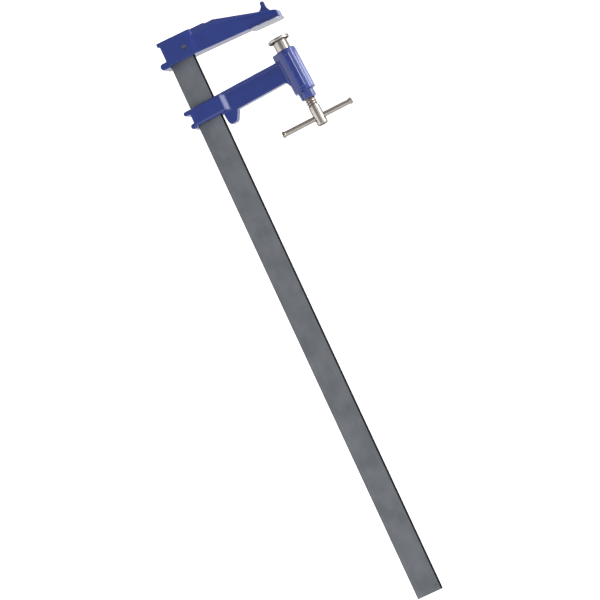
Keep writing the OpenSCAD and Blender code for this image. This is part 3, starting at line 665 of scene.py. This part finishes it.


# The painted shade lies on faces that look across the bar (edgeCosine) and not along it (endCosine), short of
# 650 mm along the bar
rail = {"from": -31.68, "to": 659.32, "middle": -110, "width": 30, "thickness": 8, "edge": 1.0,
        "edgeSteps": 5, "endEdge": 0.35, "endSteps": 2, "endDegrees": 69, "pinHole": 2.65, "around": 48,
        "stopAt": 654.32, "stopY": -99.2, "stop": 2.0, "stopHeight": 0.9, "stopEase": 0.7, "stopSteps": 5,
        "edgeCosine": 0.4, "endCosine": 0.3, "shadeTo": 650, "creaseDegrees": 25}


def makeRail():
    # Flat bar with rolled edges, lightly broken at its two ends
    shape = bmesh.new()
    bmesh.ops.create_cube(shape, size=1)
    for vertex in shape.verts:
        vertex.co = Vector((vertex.co.x * (rail["to"] - rail["from"]) + (rail["to"] + rail["from"]) / 2,
                            vertex.co.y * rail["width"] + rail["middle"],
                            vertex.co.z * rail["thickness"])) * mm
    longEdges = [e for e in shape.edges if e.calc_length() > rail["width"] * 2 * mm]
    bmesh.ops.bevel(shape, geom=longEdges, offset=rail["edge"] * mm, segments=rail["edgeSteps"],
                    profile=0.5, affect="EDGES")
    ends = [e for e in shape.edges
            if len(e.link_faces) == 2 and e.calc_face_angle(0) > math.radians(rail["endDegrees"])]
    bmesh.ops.bevel(shape, geom=ends, offset=rail["endEdge"] * mm, segments=rail["endSteps"],
                    profile=0.5, affect="EDGES")
    mesh = cutAway(meshFrom(shape, "flatBar"),
                   drill(rail["pinHole"], Matrix.Translation(Vector(pin["at"]) * mm), rail["around"]))
    # The swaged stop stands out of both sides of the bar
    top = rail["thickness"] / 2 + rail["stopHeight"]
    joined(mesh, turned("button", eased([(-top, 0), (-top, rail["stop"]), (top, rail["stop"]), (top, 0)],
                                        rail["stopEase"], rail["stopSteps"]),
                        Matrix.Translation(Vector((rail["stopAt"], rail["stopY"], 0)) * mm),
                        rail["around"]))
    newPiece("flatBar", mesh, barMaterial, "frame", "rail")
    mesh.materials.append(narrowShadeMaterial)
    # The narrow faces take the near-black painted shade
    for polygon in mesh.polygons:
        across, along = abs(polygon.normal.y), abs(polygon.normal.x)
        short = polygon.center.x < rail["shadeTo"] * mm
        if across > rail["edgeCosine"] and along < rail["endCosine"] and short:
            polygon.material_index = 1
    mesh.set_sharp_from_angle(angle=math.radians(rail["creaseDegrees"]))


makeRail()
# The small solids inside keep their shape
for node, material in (("guide_key", keyMaterial), ("thrust_ball", turnedMaterial),
                       ("retaining_pin_near", keyMaterial), ("retaining_pin_far", keyMaterial)):
    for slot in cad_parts[node].material_slots:
        slot.material = material
print("rail and inner pieces ready")


studio = {
    # In metres. The floor lies below the tommy bar's swing
    "floorZ": -0.085, "floorReach": 8.0, "floorColour": "#e2e2e2", "cameraGlow": 0.7, "glossyGlow": 0.3,
    # Brightness of the tent against the cosine of the angle from its opening overhead
    "opening": (-0.1, 0.03, 0.99), "tentStrength": 1.55,
    "tent": ((0.0, 0.55), (0.35, 0.62), (0.6, 1.0), (0.8, 0.9), (0.87, 0.5), (0.92, 0.31), (1.0, 0.29)),
    # The side beyond the fixed jaw is darker: its share of light, and the cosines between which it fades
    "darkShare": 0.4, "darkFade": (-0.6, -0.1),
    # Name, place, target, width and height in metres, watts
    "lamps": (("sideStrip", (0.05, 0.75, 0.11), (0.05, 0.0, 0.0), (0.9, 0.18), 4.4),
              ("lowStrip", (0.1, -0.7, 0.16), (0.05, 0.0, 0.0), (0.8, 0.22), 0.5),
              ("tableGlow", (0.06, 0.09, -0.0152), (0.06, 0.09, 1.0), (0.05, 0.11), 0.075)),
}
# Place and target in metres, roll in radians
view = {"lens": 190.4, "sensor": 36, "place": (0.61312, 0.7148, 3.48), "target": (0.29765, -0.10377, 0),
        "roll": 0.4559}


def makeFloor():
    reach, z = studio["floorReach"], studio["floorZ"]
    mesh = bpy.data.meshes.new("paleFloor")
    mesh.from_pydata([(-reach, -reach, z), (reach, -reach, z), (reach, reach, z), (-reach, reach, z)],
                     [], [(0, 1, 2, 3)])
    # Pale paper that the camera, and bright metal, see as white
    material, tree = startMaterial("palePaper")
    paper = addNode(tree, "ShaderNodeBsdfDiffuse", {}, {"Color": linearRgb(studio["floorColour"])})
    rays = addNode(tree, "ShaderNodeLightPath")
    mirrored = addNode(tree, "ShaderNodeMath", {"operation": "MULTIPLY"}, {1: studio["glossyGlow"]},
                       {0: rays.outputs["Is Glossy Ray"]})
    strength = addNode(tree, "ShaderNodeMath", {"operation": "MULTIPLY_ADD"}, {1: studio["cameraGlow"]},
                       {0: rays.outputs["Is Camera Ray"], 2: mirrored.outputs[0]})
    glow = addNode(tree, "ShaderNodeEmission", {}, {"Color": (1, 1, 1, 1)}, {"Strength": strength.outputs[0]})
    both = addNode(tree, "ShaderNodeAddShader", links={0: paper.outputs[0], 1: glow.outputs[0]})
    addNode(tree, "ShaderNodeOutputMaterial", links={"Surface": both.outputs[0]})
    mesh.materials.append(material)
    addObject("floor", mesh)


def makeWorld():
    # White tent with a darker opening overhead: bright sides, deep colour on what faces up
    world = bpy.data.worlds.new("tent")
    bpy.context.scene.world = world
    world.use_nodes = True
    tree = world.node_tree
    tree.nodes.clear()
    direction = addNode(tree, "ShaderNodeTexCoord")
    facing = addNode(tree, "ShaderNodeVectorMath", {"operation": "DOT_PRODUCT"},
                     {1: Vector(studio["opening"]).normalized()}, {0: direction.outputs["Generated"]})
    wall = addNode(tree, "ShaderNodeValToRGB", links={"Fac": facing.outputs["Value"]})
    ramp = wall.color_ramp
    while len(ramp.elements) < len(studio["tent"]):
        ramp.elements.new(0.5)
    for element, (place, level) in zip(ramp.elements, studio["tent"]):
        element.position = place
        element.color = (level, level, level, 1)
    sides = addNode(tree, "ShaderNodeSeparateXYZ", links={"Vector": direction.outputs["Generated"]})
    jawSide = addNode(tree, "ShaderNodeMapRange", {"interpolation_type": "SMOOTHSTEP"},
                      {"From Min": studio["darkFade"][0], "From Max": studio["darkFade"][1],
                       "To Min": studio["darkShare"] * studio["tentStrength"],
                       "To Max": studio["tentStrength"]}, {"Value": sides.outputs["X"]})
    rays = addNode(tree, "ShaderNodeLightPath")
    strength = addNode(tree, "ShaderNodeMath", {"operation": "MULTIPLY"},
                       links={0: wall.outputs["Color"], 1: jawSide.outputs[0]})
    seen = addNode(tree, "ShaderNodeMix", {"data_type": "FLOAT"}, {"B": 1.0},
                   {"Factor": rays.outputs["Is Camera Ray"], "A": strength.outputs[0]})
    light = addNode(tree, "ShaderNodeBackground", {}, {"Color": (1, 1, 1, 1)},
                    {"Strength": seen.outputs["Result"]})
    addNode(tree, "ShaderNodeOutputWorld", links={"Surface": light.outputs[0]})


def makeLamps():
    for name, place, target, size, watts in studio["lamps"]:
        data = bpy.data.lights.new(name, "AREA")
        data.shape = "RECTANGLE"
        data.size, data.size_y = size
        data.energy = watts
        lamp = addObject(name, data)
        lamp.location = place
        lamp.rotation_euler = (Vector(place) - Vector(target)).to_track_quat("Z", "Y").to_euler()


def makeCamera():
    # Nearly straight above the bar, rolled so that the bar runs down to the right
    data = bpy.data.cameras.new("camera")
    data.sensor_width = view["sensor"]
    data.lens = view["lens"]
    camera = addObject("camera", data)
    place, roll = Vector(view["place"]), view["roll"]
    back = (place - Vector(view["target"])).normalized()
    across = Vector((0, 1, 0))
    across = (across - across.dot(back) * back).normalized()
    upward = back.cross(across)
    right = math.cos(roll) * across - math.sin(roll) * upward
    top = math.sin(roll) * across + math.cos(roll) * upward
    camera.matrix_world = Matrix((
        (right.x, top.x, back.x, place.x), (right.y, top.y, back.y, place.y),
        (right.z, top.z, back.z, place.z), (0, 0, 0, 1)))
    bpy.context.scene.camera = camera


makeFloor()
makeWorld()
makeLamps()
makeCamera()
bpy.context.scene.view_settings.view_transform = "Standard"
print("studio ready")
